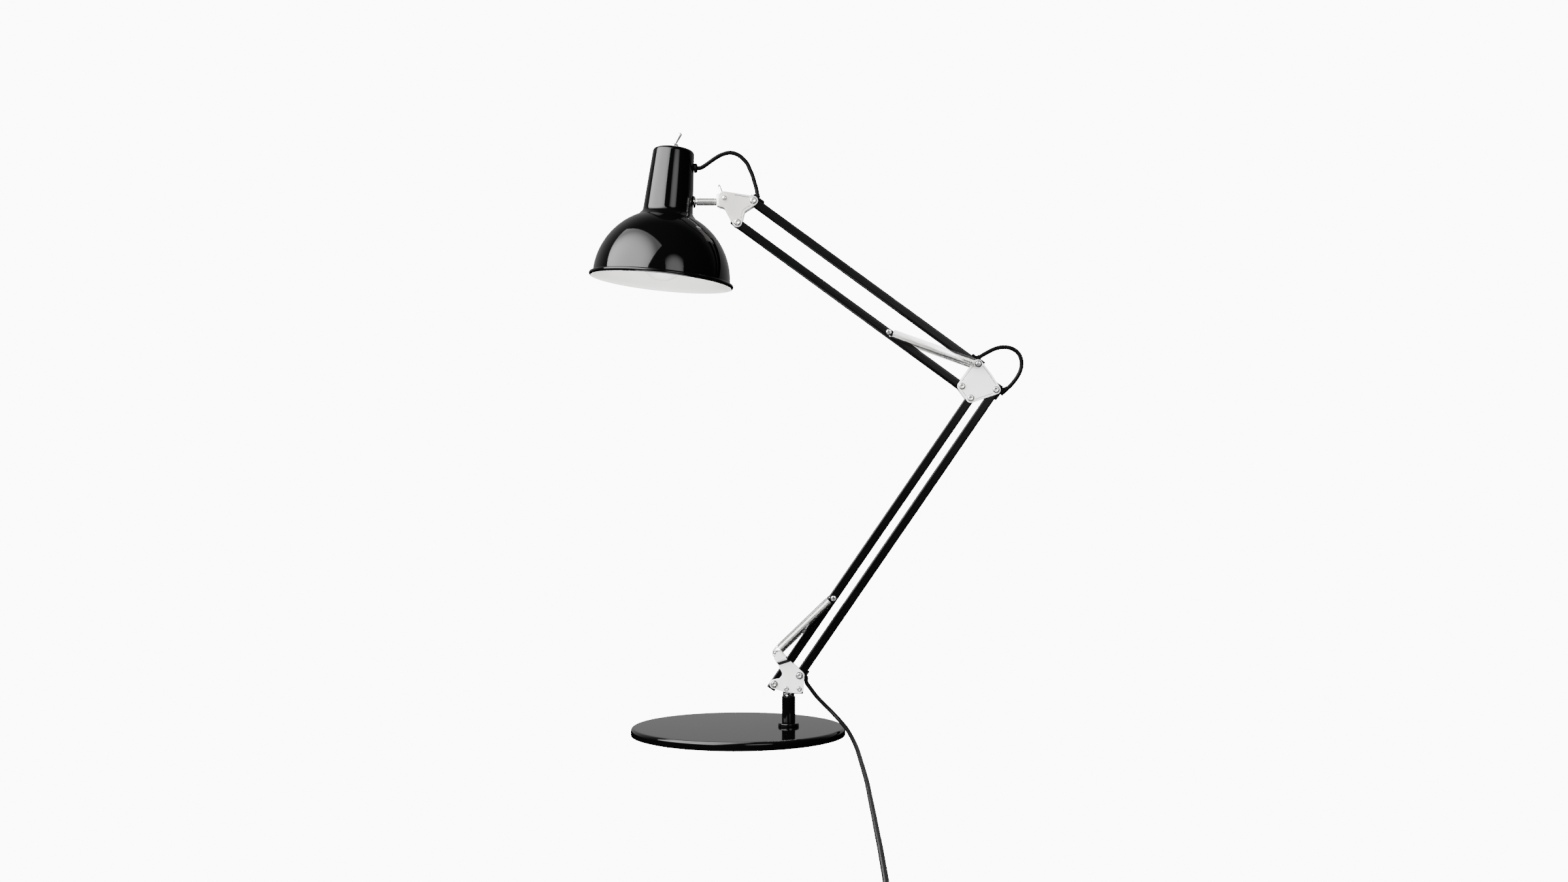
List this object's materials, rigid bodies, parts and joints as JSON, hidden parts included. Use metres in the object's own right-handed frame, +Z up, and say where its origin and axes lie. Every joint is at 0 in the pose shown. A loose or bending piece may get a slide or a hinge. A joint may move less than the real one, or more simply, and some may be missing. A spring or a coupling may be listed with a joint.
{
  "type": "adjustable arm desk lamp",
  "caption": "Spring-balanced desk lamp: round weighted base, two parallelogram arms of square tube, tilting dome shade with a toggle switch.",
  "frame": {"origin": "centre of the round foot pad's underside", "axes": "+Z up, +X from the base towards the elbow in the plane of the arms, +Y away from the side with the front plates"},
  "size_m": [0.5987, 1.162, 0.8301],
  "materials": {
    "gloss_black_paint": "gloss enamel",
    "satin_black_paint": "satin powder coat",
    "nickel_plate": "bright nickel plate, lightly brushed",
    "chrome": "polished",
    "spring_steel": "drawn wire",
    "plain_steel": "plain",
    "black_rubber": "matt",
    "black_plastic": "moulded",
    "foot_pad": "ribbed sheet",
    "holder_white": "glazed",
    "frosted_glass": "frosted"
  },
  "bodies": {
    "base": {"foot_pad": "foot_pad", "base_disc": "gloss_black_paint", "stem_bolt": "plain_steel", "stem_flange": "gloss_black_paint", "stem_tube": "gloss_black_paint", "stem_plug": "plain_steel", "stem_bush": "black_plastic", "mains_cord": "black_rubber", "cord_coil": "black_rubber", "plug": "black_plastic"},
    "bracket": {"swivel_block": "chrome", "base_plate_front": "nickel_plate", "base_plate_back": "nickel_plate", "pivot_rivet_left": "nickel_plate", "pivot_rivet_right": "nickel_plate", "block_rivet_left": "nickel_plate", "block_rivet_right": "nickel_plate", "spring_stud_front": "plain_steel", "spring_stud_back": "plain_steel"},
    "lower_arm_right": {"lower_tube_right": "satin_black_paint", "grommet_lower_foot": "black_rubber", "grommet_lower_top": "black_rubber"},
    "lower_arm_left": {"lower_tube_left": "satin_black_paint", "lower_spring_pin": "nickel_plate", "lower_spring_front": "spring_steel", "lower_spring_back": "spring_steel"},
    "elbow": {"elbow_plate_front": "nickel_plate", "elbow_plate_back": "nickel_plate", "elbow_rivet_e": "nickel_plate", "elbow_rivet_f": "nickel_plate", "elbow_rivet_g": "nickel_plate", "elbow_spring_pin": "nickel_plate", "elbow_cord": "black_rubber"},
    "upper_arm_top": {"upper_tube_top": "satin_black_paint", "grommet_upper_foot": "black_rubber", "grommet_upper_head": "black_rubber"},
    "upper_arm_bottom": {"upper_tube_bottom": "satin_black_paint", "upper_spring_pin": "nickel_plate", "upper_spring_front": "spring_steel", "upper_spring_back": "spring_steel"},
    "head_bracket": {"head_plate_front": "nickel_plate", "head_plate_back": "nickel_plate", "head_rivet_top": "nickel_plate", "head_rivet_bottom": "nickel_plate", "clamp_bolt": "nickel_plate", "head_cord": "black_rubber"},
    "wing_nut": {"wing_nut": "nickel_plate"},
    "head_rod": {"knuckle_block": "nickel_plate", "head_bar": "chrome", "cup_washer": "chrome", "rod_nut": "plain_steel"},
    "shade": {"shade_shell": "gloss_black_paint", "neck_grommet": "black_rubber", "holder_plate": "plain_steel", "lampholder": "holder_white", "bulb_cap": "plain_steel", "bulb_glass": "frosted_glass", "toggle_body": "black_plastic", "toggle_nut": "chrome"},
    "toggle_lever": {"toggle_lever": "chrome"}
  },
  "joints": [
    {"name": "base_swivel", "type": "hinge", "parent": "base", "child": "bracket", "pos_m": [0.0693, 0, 0.054], "axis": [0, 0, 1], "range_deg": [-90, 90], "deforming": ["mains_cord"]},
    {"name": "lower_arm_lift", "type": "hinge", "parent": "bracket", "child": "lower_arm_right", "pos_m": [0.0842, 0, 0.0829], "axis": [0, 1, 0], "range_deg": [-35, 15]},
    {"name": "lower_link_lift", "type": "hinge", "parent": "bracket", "child": "lower_arm_left", "pos_m": [0.0495, 0, 0.0713], "axis": [0, 1, 0], "range_deg": [-35, 15], "deforming": ["lower_spring_front", "lower_spring_back"]},
    {"name": "elbow_level", "type": "hinge", "parent": "lower_arm_right", "child": "elbow", "pos_m": [0.3541, 0, 0.4755], "axis": [0, 1, 0], "range_deg": [-15, 35], "deforming": ["elbow_cord"]},
    {"name": "upper_arm_lift", "type": "hinge", "parent": "elbow", "child": "upper_arm_top", "pos_m": [0.3291, 0, 0.5102], "axis": [0, 1, 0], "range_deg": [-30, 35]},
    {"name": "upper_link_lift", "type": "hinge", "parent": "elbow", "child": "upper_arm_bottom", "pos_m": [0.3073, 0, 0.4803], "axis": [0, 1, 0], "range_deg": [-30, 35], "deforming": ["upper_spring_front", "upper_spring_back"]},
    {"name": "head_level", "type": "hinge", "parent": "upper_arm_top", "child": "head_bracket", "pos_m": [0.0207, 0, 0.7351], "axis": [0, 1, 0], "range_deg": [-35, 30], "deforming": ["head_cord"]},
    {"name": "head_tilt", "type": "hinge", "parent": "head_bracket", "child": "head_rod", "pos_m": [-0.0188, 0, 0.7386], "axis": [0, 1, 0], "range_deg": [-30, 60]},
    {"name": "shade_swivel", "type": "hinge", "parent": "head_rod", "child": "shade", "pos_m": [-0.062, 0, 0.7345], "axis": [1, 0, 0], "range_deg": [-90, 90]},
    {"name": "wing_nut_turn", "type": "hinge", "parent": "head_bracket", "child": "wing_nut", "pos_m": [-0.0188, 0, 0.7386], "axis": [0, 1, 0], "continuous": true},
    {"name": "toggle_flip", "type": "hinge", "parent": "shade", "child": "toggle_lever", "pos_m": [-0.08813, 0, 0.81193], "axis": [0, 1, 0], "range_deg": [-43, 0]}
  ],
  "couplings": [
    {"joint": "lower_link_lift", "follows": "lower_arm_lift", "ratio": 1},
    {"joint": "elbow_level", "follows": "lower_arm_lift", "ratio": -1},
    {"joint": "upper_link_lift", "follows": "upper_arm_lift", "ratio": 1},
    {"joint": "head_level", "follows": "upper_arm_lift", "ratio": -1}
  ]
}
